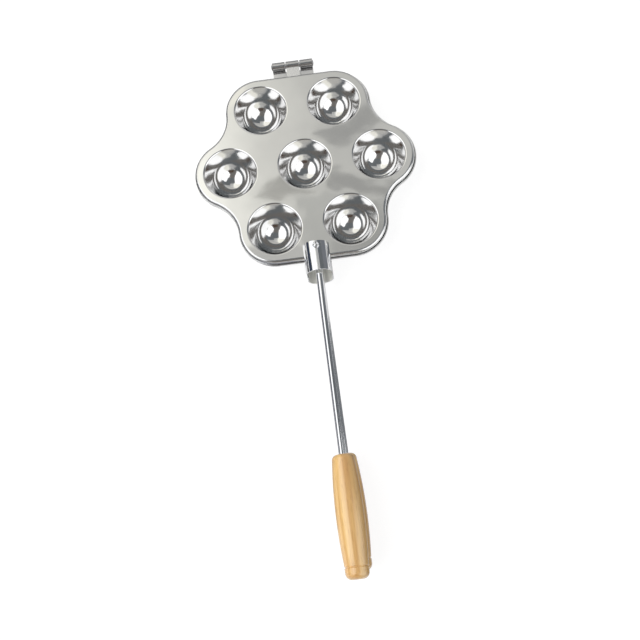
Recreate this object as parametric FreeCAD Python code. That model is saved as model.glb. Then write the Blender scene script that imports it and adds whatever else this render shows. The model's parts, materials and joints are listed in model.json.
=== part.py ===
import FreeCAD, Part
import math
import os

# Egg waffle pan: two lobed plates of pressed steel sheet, joined by a barrel hinge at the
# far end and shut on each other. Each half has a rod with a turned wooden grip, held on the
# outer face by a half-round socket and one rivet. Seven deep round-bottomed cups in the upper
# plate sink into seven wider cups in the lower plate, with room for batter between them.
#
# The origin is the foot of the middle lower cup, on the surface that the pan stands on.
# +Z is up, +Y points to the hinge, the grips lie along -Y. Sizes are millimetres and degrees.

# Cups
cup_pitch = 62.5
cup_radius = 22.0
cup_bottom_radius = 18.2
cup_draft = 21.5
cup_lip = 1.6
batter_gap = 3.2
foot_radius = 4.5

# Plates
sheet = 1.0
lobe_radius = 29.6
valley_radius = 33.0
lower_ledge = 1.0
rim_height = 4.15
rim_gap = 0.3
rim_corner = 2.5
side_play = 0.6

# Hinge
hinge_setback = 11.8
pin_diameter = 4.4
pin_fit = 0.06
strap = 1.4
outer_knuckle = 12.0
middle_knuckle = 11.2
knuckle_clear = 0.3
web_clear = 0.6
seam = 0.4
pin_head_diameter = 6.0
pin_head_height = 0.9

# Sockets and their rivets
socket_width = 21.2
socket_wall = 1.0
socket_length = 24.5
socket_overlap = 11.2
socket_corner = 3.0
lower_socket_out = 3.0
rivet_inset = 4.0
rivet_diameter = 3.2
rivet_head_diameter = 5.5
rivet_head_height = 1.0
rivet_tail_diameter = 5.2
rivet_tail_height = 0.9
rivet_dimple_diameter = 1.8
rivet_dimple_depth = 0.6
rivet_fit = 0.05

# Rods
rod_diameter = 5.5
rod_rise = 1.3
rod_splay = 0.6
tongue_width = 7.4
tongue_thickness = 2.2
tongue_length = 5.0
forging_length = 6.0
forging_lap = 1.0
forging_share = 0.9
upper_reach = 337.0
lower_reach = 332.0

# Grips
grip_length = 92.5
grip_neck_diameter = 14.6
grip_belly_diameter = 19.5
grip_belly_share = 0.52
grip_end_diameter = 15.8
grip_neck_round = 3.0
grip_end_round = 5.0
ring_from_end = 9.0
ring_width = 1.4
ring_depth = 0.5
bore_depth = 66.0
bore_fit = 0.04

# Sizes that follow from the ones above
flank_across = math.cos(math.radians(cup_draft))
flank_down = math.sin(math.radians(cup_draft))
cup_centre_depth = (cup_radius * flank_across - cup_bottom_radius) / flank_down
lower_bottom_radius = cup_bottom_radius + sheet + batter_gap
closed_thickness = 2 * rim_height + rim_gap
top_face_z = cup_centre_depth + math.sqrt((lower_bottom_radius + sheet) ** 2 - foot_radius ** 2)
bottom_face_z = top_face_z - closed_thickness
row_y = cup_pitch * math.sin(math.radians(60))
plate_edge = row_y + lobe_radius
hinge_y = plate_edge + hinge_setback
hinge_depth = closed_thickness / 2
pin_radius = pin_diameter / 2
knuckle_bore = pin_radius + pin_fit
knuckle_radius = knuckle_bore + strap
middle_gap = middle_knuckle / 2 + knuckle_clear + side_play
hinge_half_length = middle_gap + outer_knuckle
socket_radius = socket_width / 2
socket_start = plate_edge - socket_overlap
rod_radius = rod_diameter / 2
overshoot = 1.0

UP = FreeCAD.Vector(0, 0, 1)
ACROSS = FreeCAD.Vector(1, 0, 0)
OUTWARD = FreeCAD.Vector(0, -1, 0)


def point(x, y, z=0.0):
    return FreeCAD.Vector(x, y, z)


def arc(start, middle, end):
    return Part.Arc(start, middle, end).toShape()


def solid_between(wire, height):
    return Part.Face(wire).extrude(point(0, 0, height))


def revolved(edges):
    """Turn a closed profile in the XZ plane about the Z axis."""
    return Part.Face(Part.Wire(edges)).revolve(point(0, 0, 0), UP, 360)


# A half is built with its outer face on z = 0 and its inside towards +Z. The lower half is
# then lifted to its height, and the upper half is turned over on top of it.

def as_lower(shape):
    placed = shape.copy()
    placed.translate(point(0, 0, bottom_face_z))
    return placed


def as_upper(shape):
    placed = shape.copy()
    placed.rotate(point(0, 0, 0), FreeCAD.Vector(0, 1, 0), 180)
    placed.translate(point(-side_play, 0, top_face_z))
    return placed


# Plates

def cup_centres():
    centres = [point(0, 0)]
    for k in range(6):
        angle = math.radians(60 * k)
        centres.append(point(cup_pitch * math.cos(angle), cup_pitch * math.sin(angle)))
    return centres


def lobed_outline(grown, z):
    """Lobes round the six outer cups, hollow arcs between them, and a straight edge at the
    hinge end and at the grip end. The outline is grown outwards by the given amount."""
    lobe = lobe_radius + grown
    valley = valley_radius - grown
    to_valley = cup_pitch * math.cos(math.radians(30))
    to_valley += math.sqrt((lobe + valley) ** 2 - (cup_pitch / 2) ** 2)
    outer_cups = cup_centres()[1:]
    straight_after = (1, 4)

    def valley_centre(k):
        angle = math.radians(60 * k + 30)
        return point(to_valley * math.cos(angle), to_valley * math.sin(angle))

    def bearing_after(k):
        if k in straight_after:
            return math.radians(60 * k + 30)
        towards = valley_centre(k) - outer_cups[k]
        return math.atan2(towards.y, towards.x)

    def bearing_before(k):
        before = (k - 1) % 6
        if before in straight_after:
            return math.radians(60 * before + 30)
        towards = valley_centre(before) - outer_cups[k]
        return math.atan2(towards.y, towards.x)

    def on_lobe(k, bearing):
        centre = outer_cups[k]
        return point(centre.x + lobe * math.cos(bearing), centre.y + lobe * math.sin(bearing), z)

    edges = []
    for k in range(6):
        start = bearing_before(k)
        sweep = (bearing_after(k) - start) % (2 * math.pi)
        edges.append(arc(on_lobe(k, start), on_lobe(k, start + sweep / 2), on_lobe(k, start + sweep)))
        leave = on_lobe(k, bearing_after(k))
        arrive = on_lobe((k + 1) % 6, bearing_before((k + 1) % 6))
        if k in straight_after:
            edges.append(Part.makeLine(leave, arrive))
        else:
            centre = valley_centre(k)
            bottom = centre * ((to_valley - valley) / to_valley)
            edges.append(arc(leave, point(bottom.x, bottom.y, z), arrive))
    return Part.Wire(edges)


def rounded_form(grown, start_z, end_z, corner):
    """The outline as a solid, with its edge on the outer face rounded."""
    form = solid_between(lobed_outline(grown, start_z), end_z - start_z)
    face_edges = []
    for edge in form.Edges:
        if all(abs(vertex.Z - start_z) < 1e-6 for vertex in edge.Vertexes):
            face_edges.append(edge)
    return form.makeFillet(corner, face_edges)


def pressed_cup(radius, centre_above, foot):
    """One cup of even sheet, with its mouth on z = 0 and its hollow open towards +Z. The
    centre of its round bottom lies the given distance above the mouth. Its straight flank
    leaves the bottom at the draft and turns over in a small lip. A foot above zero presses
    its pole flat. Returns the cup and the radius at which its lip runs out into the sheet."""
    lip_x = (radius + cup_lip - (centre_above + cup_lip) * flank_down) / flank_across
    lip_centre = point(lip_x, 0, -cup_lip)
    sphere_centre = point(0, 0, centre_above)
    out_of_flank = point(flank_across, 0, -flank_down)
    lip_middle = (UP - out_of_flank).normalize()

    def skin(depth):
        lip = cup_lip - depth
        ball = radius + depth
        lip_start = lip_centre + UP * lip
        lip_end = lip_centre - out_of_flank * lip
        flank_end = sphere_centre + out_of_flank * ball
        if foot > 0:
            flat_z = centre_above - math.sqrt((radius + sheet) ** 2 - foot ** 2) + sheet - depth
            flat_x = math.sqrt(ball ** 2 - (centre_above - flat_z) ** 2)
        else:
            flat_z = centre_above - ball
            flat_x = 0
        pole = point(flat_x, 0, flat_z)
        halfway = (out_of_flank + (pole - sphere_centre).normalize()).normalize()
        edges = [
            arc(lip_start, lip_centre + lip_middle * lip, lip_end),
            Part.makeLine(lip_end, flank_end),
            arc(flank_end, sphere_centre + halfway * ball, pole),
        ]
        if foot > 0:
            edges.append(Part.makeLine(pole, point(0, 0, flat_z)))
        return edges, lip_start, flat_z

    hollow_side, hollow_start, hollow_pole = skin(0)
    bulge_side, bulge_start, bulge_pole = skin(sheet)
    axis = Part.makeLine(point(0, 0, hollow_pole), point(0, 0, bulge_pole))
    edge = Part.makeLine(hollow_start, bulge_start)
    return revolved(hollow_side + [axis] + bulge_side[::-1] + [edge]), lip_x


def plate(grown, cup, cup_mouth):
    """A shallow tray with a turned rim, its flat opened for the cups and the cups let in."""
    form = rounded_form(grown, 0, rim_height, rim_corner)
    hollow = rounded_form(grown - sheet, sheet, rim_height + overshoot, rim_corner - sheet)
    tray = form.cut(hollow)
    mouths = []
    cups = []
    for centre in cup_centres():
        mouths.append(Part.makeCylinder(cup_mouth, sheet + 2 * overshoot, centre - UP * overshoot))
        placed = cup.copy()
        placed.translate(centre)
        cups.append(placed)
    return tray.cut(mouths).fuse(cups).removeSplitter()


def rivet_hole(centre_y, radius):
    length = socket_radius + sheet + 2 * overshoot
    return Part.makeCylinder(radius, length, point(0, centre_y, -socket_radius - overshoot))


def upper_plate():
    cup, mouth = pressed_cup(cup_bottom_radius, -cup_centre_depth, 0)
    cup.rotate(point(0, 0, 0), ACROSS, 180)
    body = plate(0, cup, mouth)
    return body.cut(rivet_hole(rivet_y(0), rivet_diameter / 2 + rivet_fit))


def lower_plate():
    centre_above = closed_thickness - sheet - cup_centre_depth
    cup, mouth = pressed_cup(lower_bottom_radius, centre_above, foot_radius)
    cup.translate(UP * sheet)
    body = plate(lower_ledge, cup, mouth)
    return body.cut(rivet_hole(rivet_y(lower_socket_out), rivet_diameter / 2 + rivet_fit))


# Hinge

def knuckle(start, end):
    """One rolled eye round the pin, with its strap running to the rim on the outer side."""
    length = end - start
    barrel = Part.makeCylinder(knuckle_radius, length, point(start, hinge_y, hinge_depth), ACROSS)
    outer_z = hinge_depth - knuckle_radius
    run = hinge_y - plate_edge + rim_corner
    arm = Part.makeBox(length, run, strap, point(start, plate_edge - rim_corner, outer_z))
    eye = Part.makeCylinder(knuckle_bore, length + 2 * overshoot,
                            point(start - overshoot, hinge_y, hinge_depth), ACROSS)
    gap = Part.makeBox(length + 2 * overshoot, knuckle_radius, seam,
                       point(start - overshoot, hinge_y - knuckle_radius, outer_z + strap))
    return barrel.cut(gap).fuse(arm).cut(eye)


def seated_on_rim(leaf, grown):
    return leaf.cut(rounded_form(grown, 0, rim_height, rim_corner)).removeSplitter()


def upper_hinge_leaf():
    """The middle knuckle, midway between the outer two and so a little off its own plate."""
    middle = -side_play
    return seated_on_rim(knuckle(middle - middle_knuckle / 2, middle + middle_knuckle / 2), 0)


def lower_hinge_leaf():
    left = knuckle(-hinge_half_length, -middle_gap)
    right = knuckle(middle_gap, hinge_half_length)
    web_end = hinge_y - knuckle_radius - web_clear
    web = Part.makeBox(2 * hinge_half_length, web_end - plate_edge + rim_corner, strap,
                       point(-hinge_half_length, plate_edge - rim_corner, hinge_depth - knuckle_radius))
    return seated_on_rim(left.fuse([web, right]), lower_ledge)


def domed_end(radius, base_z, height):
    """From the edge of a low dome to its pole on the axis, as part of a sphere. A height
    below zero gives a dome that faces down."""
    rise = abs(height)
    ball = (radius ** 2 + rise ** 2) / (2 * rise)
    half_angle = math.asin(min(1.0, radius / ball)) / 2
    middle_x = ball * math.sin(half_angle)
    middle_z = rise - ball * (1 - math.cos(half_angle))
    side = math.copysign(1, height)
    return arc(point(radius, 0, base_z), point(middle_x, 0, base_z + side * middle_z),
               point(0, 0, base_z + height))


def hinge_pin():
    """A plain pin, its ends peened over the outer knuckles."""
    half = hinge_half_length
    head = pin_head_diameter / 2
    tip = half + pin_head_height
    pin = revolved([
        Part.makeLine(point(0, 0, tip), point(0, 0, -tip)),
        domed_end(head, -half, -pin_head_height),
        Part.makeLine(point(head, 0, -half), point(pin_radius, 0, -half)),
        Part.makeLine(point(pin_radius, 0, -half), point(pin_radius, 0, half)),
        Part.makeLine(point(pin_radius, 0, half), point(head, 0, half)),
        domed_end(head, half, pin_head_height),
    ])
    pin.rotate(point(0, 0, 0), FreeCAD.Vector(0, 1, 0), 90)
    pin.translate(point(0, hinge_y, bottom_face_z + hinge_depth))
    return pin


# Sockets

def rivet_y(moved_out):
    return -(socket_start + rivet_inset + moved_out)


def socket(moved_out):
    """A half-round cover with its cut edges on the plate, and its free corners rounded."""
    start = -(socket_start + moved_out)
    end = start - socket_length
    skin = Part.makeCylinder(socket_radius, socket_length, point(0, start, 0), OUTWARD)
    hollow = Part.makeCylinder(socket_radius - socket_wall, socket_length + 2 * overshoot,
                               point(0, start + overshoot, 0), OUTWARD)
    above = Part.makeBox(2 * socket_width, socket_length + 2 * overshoot, socket_width,
                         point(-socket_width, end - overshoot, 0))
    corner = Part.makeBox(2 * socket_width, socket_corner, socket_corner,
                          point(-socket_width, end, -socket_corner))
    kept = Part.makeCylinder(socket_corner, 2 * socket_width,
                             point(-socket_width, end + socket_corner, -socket_corner), ACROSS)
    cover = skin.cut([hollow, above]).cut(corner.cut(kept))
    return cover.cut(rivet_hole(rivet_y(moved_out), rivet_diameter / 2 + rivet_fit))


def socket_rivet(moved_out):
    """Through the crown of the socket, the tongue of the rod and the plate."""
    shank = rivet_diameter / 2
    head = rivet_head_diameter / 2
    tail = rivet_tail_diameter / 2
    dimple = rivet_dimple_diameter / 2
    crown = -socket_radius
    top = crown - rivet_head_height
    brim = top + rivet_head_height * 0.75
    under = crown + head / 2
    rivet = revolved([
        Part.makeLine(point(0, 0, top + rivet_dimple_depth), point(dimple, 0, top + rivet_dimple_depth)),
        Part.makeLine(point(dimple, 0, top + rivet_dimple_depth), point(dimple, 0, top)),
        Part.makeLine(point(dimple, 0, top), point(head * 0.6, 0, top)),
        arc(point(head * 0.6, 0, top), point(head * 0.88, 0, top + (brim - top) * 0.35),
            point(head, 0, brim)),
        Part.makeLine(point(head, 0, brim), point(head, 0, under)),
        Part.makeLine(point(head, 0, under), point(shank, 0, under)),
        Part.makeLine(point(shank, 0, under), point(shank, 0, sheet)),
        Part.makeLine(point(shank, 0, sheet), point(tail, 0, sheet)),
        domed_end(tail, sheet, rivet_tail_height),
        Part.makeLine(point(0, 0, sheet + rivet_tail_height), point(0, 0, top + rivet_dimple_depth)),
    ])
    crown_form = Part.makeCylinder(socket_radius, 4 * head, point(0, 2 * head, 0), OUTWARD)
    rivet = rivet.cut(crown_form.cut(rivet_hole(0, shank)))
    rivet.translate(point(0, rivet_y(moved_out), 0))
    return rivet


# Rods and grips lie along the handle: their own run starts at the rivet and goes outwards.

def rod_direction():
    rise = math.radians(rod_rise)
    return FreeCAD.Vector(0, -math.cos(rise), -math.sin(rise))


def rod_start(moved_out):
    run = tongue_length + forging_length
    return point(0, rivet_y(moved_out) - run, -rod_radius)


def rod_length(moved_out, reach):
    run = reach - grip_length + bore_depth + rod_start(moved_out).y
    return run / math.cos(math.radians(rod_rise))


def splayed(shape, moved_out):
    turned = shape.copy()
    turned.rotate(point(0, rivet_y(moved_out), 0), UP, rod_splay)
    return turned


def oval(centre, half_width, half_height, rise):
    """An upright oval or circle across the handle, leaning back with the rod by its rise."""
    if half_width > half_height:
        ring = Part.Ellipse(point(0, 0), half_width, half_height).toShape()
    else:
        ring = Part.Circle(point(0, 0), UP, half_width).toShape()
    ring.rotate(point(0, 0), ACROSS, 90 + rise)
    ring.translate(centre)
    return Part.Wire(ring)


def rod(moved_out, reach):
    """A round rod, its end forged flat into a tongue that lies on the plate."""
    y = rivet_y(moved_out)
    start = rod_start(moved_out)
    bar = Part.makeCylinder(rod_radius, rod_length(moved_out, reach), start, rod_direction())
    inside_tongue = point(0, y - tongue_length + forging_lap, -tongue_thickness / 2)
    narrow = oval(inside_tongue, tongue_width * forging_share / 2, tongue_thickness * forging_share / 2, 0)
    forged = Part.makeLoft([narrow, oval(start, rod_radius, rod_radius, rod_rise)], True, True)
    tongue = Part.makeBox(tongue_width, tongue_length, tongue_thickness,
                          point(-tongue_width / 2, y - tongue_length, -tongue_thickness))
    nose = Part.makeCylinder(tongue_width / 2, tongue_thickness, point(0, y, -tongue_thickness))
    whole = tongue.fuse([nose, forged, bar])
    whole = whole.cut(rivet_hole(y, rivet_diameter / 2 + rivet_fit)).removeSplitter()
    return splayed(whole, moved_out)


def grip(moved_out, reach):
    """A turned grip with a belly, a ring cut near its rounded end and a blind bore."""
    neck = grip_neck_diameter / 2
    belly = grip_belly_diameter / 2
    end = grip_end_diameter / 2
    ring = grip_length - ring_from_end
    bend = math.sqrt(0.5)
    ring_start = point(end, 0, ring - ring_width / 2)
    ring_end = point(end, 0, ring + ring_width / 2)
    shoulder = point(end, 0, grip_length - grip_end_round)
    dome = point(end - grip_end_round, 0, grip_length)
    profile = [
        Part.makeLine(point(0, 0, grip_length), point(0, 0, 0)),
        Part.makeLine(point(0, 0, 0), point(neck - grip_neck_round, 0, 0)),
        arc(point(neck - grip_neck_round, 0, 0),
            point(neck - grip_neck_round * (1 - bend), 0, grip_neck_round * (1 - bend)),
            point(neck, 0, grip_neck_round)),
        arc(point(neck, 0, grip_neck_round), point(belly, 0, grip_length * grip_belly_share), ring_start),
        arc(ring_start, point(end - ring_depth, 0, ring), ring_end),
        Part.makeLine(ring_end, shoulder),
        arc(shoulder, point(end - grip_end_round * (1 - bend), 0, grip_length - grip_end_round * (1 - bend)),
            dome),
        Part.makeLine(dome, point(0, 0, grip_length)),
    ]
    turned = revolved(profile)
    bore = Part.makeCylinder(rod_radius + bore_fit, bore_depth + overshoot, point(0, 0, -overshoot))
    turned = turned.cut(bore)
    before_grip = rod_length(moved_out, reach) - bore_depth
    seat = rod_start(moved_out) + rod_direction() * before_grip
    turned.Placement = FreeCAD.Placement(seat, FreeCAD.Rotation(UP, rod_direction()))
    return splayed(turned, moved_out)


# Each piece of the pan, under the name of its file

pieces = {
    "lower_plate": as_lower(lower_plate()),
    "lower_hinge_leaf": as_lower(lower_hinge_leaf()),
    "lower_socket": as_lower(socket(lower_socket_out)),
    "lower_socket_rivet": as_lower(socket_rivet(lower_socket_out)),
    "lower_rod": as_lower(rod(lower_socket_out, lower_reach)),
    "lower_grip": as_lower(grip(lower_socket_out, lower_reach)),
    "hinge_pin": hinge_pin(),
    "upper_plate": as_upper(upper_plate()),
    "upper_hinge_leaf": as_upper(upper_hinge_leaf()),
    "upper_socket": as_upper(socket(0)),
    "upper_socket_rivet": as_upper(socket_rivet(0)),
    "upper_rod": as_upper(rod(0, upper_reach)),
    "upper_grip": as_upper(grip(0, upper_reach)),
}

os.makedirs("parts", exist_ok=True)
for name, shape in pieces.items():
    print(name, "solids", len(shape.Solids), "valid", shape.isValid(), "volume", round(shape.Volume, 1))
    shape.exportStep("parts/" + name + ".step")
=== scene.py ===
import json
import math

import bpy
from mathutils import Matrix, Vector
from mathutils.geometry import delaunay_2d_cdt

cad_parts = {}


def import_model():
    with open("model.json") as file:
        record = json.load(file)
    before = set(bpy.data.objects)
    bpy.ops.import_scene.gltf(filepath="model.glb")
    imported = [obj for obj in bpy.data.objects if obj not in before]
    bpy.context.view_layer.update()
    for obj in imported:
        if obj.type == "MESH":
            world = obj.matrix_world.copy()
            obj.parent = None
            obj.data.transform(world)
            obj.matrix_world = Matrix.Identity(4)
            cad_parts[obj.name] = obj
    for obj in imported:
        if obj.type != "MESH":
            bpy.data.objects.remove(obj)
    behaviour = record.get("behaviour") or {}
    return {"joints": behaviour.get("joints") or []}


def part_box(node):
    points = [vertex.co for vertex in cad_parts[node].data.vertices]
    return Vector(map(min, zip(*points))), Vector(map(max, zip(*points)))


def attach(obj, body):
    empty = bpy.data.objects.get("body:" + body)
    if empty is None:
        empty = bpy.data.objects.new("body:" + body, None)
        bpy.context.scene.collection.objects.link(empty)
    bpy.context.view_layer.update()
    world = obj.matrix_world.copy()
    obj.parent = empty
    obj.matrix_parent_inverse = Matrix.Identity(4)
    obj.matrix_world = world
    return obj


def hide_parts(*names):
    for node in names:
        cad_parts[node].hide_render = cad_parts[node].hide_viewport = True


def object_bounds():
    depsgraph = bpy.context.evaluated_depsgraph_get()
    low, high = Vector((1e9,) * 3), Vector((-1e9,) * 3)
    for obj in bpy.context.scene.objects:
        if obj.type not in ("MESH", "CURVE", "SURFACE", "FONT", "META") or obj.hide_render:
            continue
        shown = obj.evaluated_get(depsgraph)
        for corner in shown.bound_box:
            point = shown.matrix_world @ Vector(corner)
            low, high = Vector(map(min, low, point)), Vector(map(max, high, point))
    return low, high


# Egg waffle pan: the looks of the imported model. Lengths are metres in the frame of the
# solids, +Z up, +Y to the hinge, and the grips lie along -Y.

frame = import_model()
solid_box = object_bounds()

mm = 0.001

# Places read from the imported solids
hinge_point = Vector(frame["joints"][0]["pos_m"])
top_face_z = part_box("upper_plate")[1].z
upper_socket_low, upper_socket_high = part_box("upper_socket")
lower_socket_low, lower_socket_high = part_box("lower_socket")
side_play = -(upper_socket_low.x + upper_socket_high.x) / 2
socket_radius = (upper_socket_high.x - upper_socket_low.x) / 2
socket_length = upper_socket_high.y - upper_socket_low.y
bottom_face_z = lower_socket_high.z
closed_thickness = top_face_z - bottom_face_z

# Cups
cup_pitch = 62.5 * mm
cup_radius = 22.0 * mm
cup_bottom_radius = 18.2 * mm
cup_draft = math.radians(21.5)
cup_lip = 1.6 * mm
batter_gap = 3.2 * mm
foot_radius = 4.5 * mm

# Plates
sheet = 1.0 * mm
lobe_radius = 29.6 * mm
valley_radius = 33.0 * mm
lower_ledge = 1.0 * mm
rim_height = 4.15 * mm
rim_corner = 2.5 * mm
edge_round = 0.2 * mm

# Hinge
pin_radius = 2.2 * mm
pin_fit = 0.06 * mm
strap = 1.4 * mm
outer_knuckle = 10.9 * mm
middle_knuckle = 11.2 * mm
knuckle_clear = 0.3 * mm
web_clear = 0.6 * mm
seam = 0.4 * mm
strap_inset = 0.35 * mm
pin_head_radius = 3.0 * mm
pin_head_height = 0.9 * mm

# Sockets and rivets
socket_wall = 1.0 * mm
socket_corner = 3.0 * mm
rivet_inset = 4.0 * mm
rivet_radius = 1.6 * mm
rivet_head_radius = 2.75 * mm
rivet_head_height = 1.0 * mm
rivet_tail_radius = 2.6 * mm
rivet_tail_height = 0.9 * mm
rivet_dimple_radius = 1.5 * mm
rivet_dimple_depth = 0.6 * mm

# Rods
rod_radius = 2.75 * mm
rod_rise = math.radians(0.95)
upper_splay = math.radians(0.31)
lower_splay = math.radians(0.25)
tongue_width = 7.4 * mm
tongue_thickness = 2.2 * mm
tongue_length = 5.0 * mm
forging_length = 6.0 * mm
upper_reach = 335.4 * mm
lower_reach = 330.0 * mm

# Grips
upper_grip_length = 91.4 * mm
lower_grip_length = 88.6 * mm
grip_neck_radius = 8.5 * mm
grip_belly_radius = 10.65 * mm
grip_belly_share = 0.42
grip_end_radius = 9.0 * mm
grip_neck_round = 4.2 * mm
grip_end_round = 5.0 * mm
ring_from_end = 9.0 * mm
ring_width = 1.4 * mm
ring_depth = 0.5 * mm
bore_depth = 66.0 * mm

# Sizes that follow
flank_across = math.cos(cup_draft)
flank_down = math.sin(cup_draft)
cup_centre_depth = (cup_radius * flank_across - cup_bottom_radius) / flank_down
lower_bottom_radius = cup_bottom_radius + sheet + batter_gap
row_y = cup_pitch * math.sin(math.radians(60))
plate_edge = row_y + lobe_radius
hinge_depth = closed_thickness / 2
knuckle_bore = pin_radius + pin_fit
knuckle_radius = knuckle_bore + strap
middle_gap = middle_knuckle / 2 + knuckle_clear + side_play
hinge_half_length = middle_gap + outer_knuckle

# A half is built with its outer face on z = 0 and its inside towards +Z, as the solids are.
LOWER = Matrix.Translation((0, 0, bottom_face_z))
UPPER = Matrix.Translation((-side_play, 0, top_face_z)) @ Matrix.Rotation(math.pi, 4, "Y")


# Meshes

class Skin:
    """Points, faces and exact normals of one piece while it is put together."""

    def __init__(self):
        self.points = []
        self.normals = []
        self.faces = []
        self.finish = []

    def add_point(self, place, normal):
        self.points.append(Vector(place))
        self.normals.append(Vector(normal).normalized())
        return len(self.points) - 1

    def add_face(self, corners, finish=0):
        self.faces.append(tuple(corners))
        self.finish.append(finish)

    def add_strip(self, first, second, closed, finish=0):
        """Quads between two rows of points, the first on the left when seen from outside."""
        count = len(first)
        for k in range(count if closed else count - 1):
            following = (k + 1) % count
            corners = [first[k], first[following], second[following], second[k]]
            distinct = list(dict.fromkeys(corners))
            if len(distinct) > 2:
                self.add_face(distinct, finish)


def turned_to_normals(skin):
    """Wind each face so that it looks the way its normals do."""
    for k, face in enumerate(skin.faces):
        a, b, c = (skin.points[face[i]] for i in (0, 1, 2))
        facing = (b - a).cross(c - a)
        if len(face) == 4:
            facing = (c - a).cross(skin.points[face[3]] - b)
        wanted = sum((skin.normals[i] for i in face), Vector())
        if facing.dot(wanted) < 0:
            skin.faces[k] = face[::-1]


def make_piece(name, skin, place, materials):
    """A smooth mesh with the skin's own normals."""
    turned_to_normals(skin)
    mesh = bpy.data.meshes.new(name)
    mesh.from_pydata([place @ p for p in skin.points], [], skin.faces)
    for slot in materials:
        mesh.materials.append(slot)
    for polygon, finish in zip(mesh.polygons, skin.finish):
        polygon.material_index = finish
        polygon.use_smooth = True
    turn = place.to_3x3()
    mesh.normals_split_custom_set_from_vertices([turn @ n for n in skin.normals])
    piece = bpy.data.objects.new(name, mesh)
    bpy.context.scene.collection.objects.link(piece)
    return piece


def circle_sweep(centre, radius, start, end, count):
    """Points of an arc with their outward directions, from one angle to another."""
    found = []
    for k in range(count + 1):
        angle = start + (end - start) * k / count
        out = Vector((math.cos(angle), math.sin(angle)))
        found.append((centre + out * radius, out))
    return found


def line_run(start, end, out):
    return [(start, out), (end, out)]


def arc_through(start, middle, end, count):
    """A profile arc through three points, with directions away from its centre."""
    ax, ay = middle - start
    bx, by = end - start
    d = 2 * (ax * by - ay * bx)
    centre = start + Vector((
        (by * (ax * ax + ay * ay) - ay * (bx * bx + by * by)) / d,
        (ax * (bx * bx + by * by) - bx * (ax * ax + ay * ay)) / d,
    ))
    radius = (start - centre).length
    first = math.atan2(start.y - centre.y, start.x - centre.x)
    last = math.atan2(end.y - centre.y, end.x - centre.x)
    turn = (last - first + math.pi) % (2 * math.pi) - math.pi
    return circle_sweep(centre, radius, first, first + turn, count)


def revolve(skin, profile, centre, around, finish=0):
    """Turn runs of (radius, height) with their normals about an upright axis. Each run is
    smooth, and its neighbour meets it in a crisp edge."""
    for run in profile:
        rows = []
        for at, out in run:
            if at.x < 1e-9:
                pole = skin.add_point((centre.x, centre.y, centre.z + at.y), (0, 0, out.y))
                rows.append([pole] * around)
                continue
            row = []
            for k in range(around):
                angle = 2 * math.pi * k / around
                c, s = math.cos(angle), math.sin(angle)
                place = (centre.x + at.x * c, centre.y + at.x * s, centre.z + at.y)
                row.append(skin.add_point(place, (out.x * c, out.x * s, out.y)))
            rows.append(row)
        for first, second in zip(rows, rows[1:]):
            skin.add_strip(first, second, True, finish)


# Plates

def cup_centres():
    centres = [Vector((0, 0, 0))]
    for k in range(6):
        angle = math.radians(60 * k)
        centres.append(Vector((cup_pitch * math.cos(angle), cup_pitch * math.sin(angle), 0)))
    return centres


def outline():
    """The lobed outline as points with outward directions, anticlockwise."""
    to_valley = cup_pitch * math.cos(math.radians(30))
    to_valley += math.sqrt((lobe_radius + valley_radius) ** 2 - (cup_pitch / 2) ** 2)
    outer = [c.to_2d() for c in cup_centres()[1:]]
    straight_after = (1, 4)

    def valley(k):
        angle = math.radians(60 * k + 30)
        return Vector((math.cos(angle), math.sin(angle))) * to_valley

    def bearing(k, gap):
        if gap in straight_after:
            return math.radians(60 * gap + 30)
        towards = valley(gap) - outer[k]
        return math.atan2(towards.y, towards.x)

    run = []
    for k in range(6):
        start = bearing(k, (k - 1) % 6)
        sweep = (bearing(k, k) - start) % (2 * math.pi)
        run += circle_sweep(outer[k], lobe_radius, start, start + sweep, 48)
        if k in straight_after:
            continue
        arrive = bearing((k + 1) % 6, k)
        first = bearing(k, k) + math.pi
        turn = (arrive + math.pi - first + math.pi) % (2 * math.pi) - math.pi
        inner = circle_sweep(valley(k), valley_radius, first, first + turn, 24)
        run += [(at, -out) for at, out in inner[1:-1]]
    return run


def cup_profile(radius, centre_above, foot, depth, hollow_side):
    """From the lip's start in the flat sheet, down the flank and round to the pole. The
    hollow opens towards +Z."""
    lip_x = (radius + cup_lip - (centre_above + cup_lip) * flank_down) / flank_across
    lip_centre = Vector((lip_x, -cup_lip))
    sphere_centre = Vector((0, centre_above))
    ball = radius + depth
    side = 1 if hollow_side else -1
    lips = circle_sweep(lip_centre, cup_lip - depth, math.pi / 2, math.pi - cup_draft, 10)
    run = [(at, out * side) for at, out in lips]
    if foot > 0:
        flat_z = centre_above - math.sqrt((radius + sheet) ** 2 - foot ** 2) + sheet - depth
        wall_end = -math.acos(math.sqrt(ball ** 2 - (centre_above - flat_z) ** 2) / ball)
        walls = circle_sweep(sphere_centre, ball, -cup_draft, wall_end, 36)
        flat_x = walls[-1][0].x
        floor_out = Vector((0, side))
        foot_run = [(Vector((flat_x, flat_z)), floor_out), (Vector((0, flat_z)), floor_out)]
    else:
        walls = circle_sweep(sphere_centre, ball, -cup_draft, -math.pi / 2, 44)
        foot_run = []
    run += [(at, -out * side) for at, out in walls]
    return run, foot_run, lip_x


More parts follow.
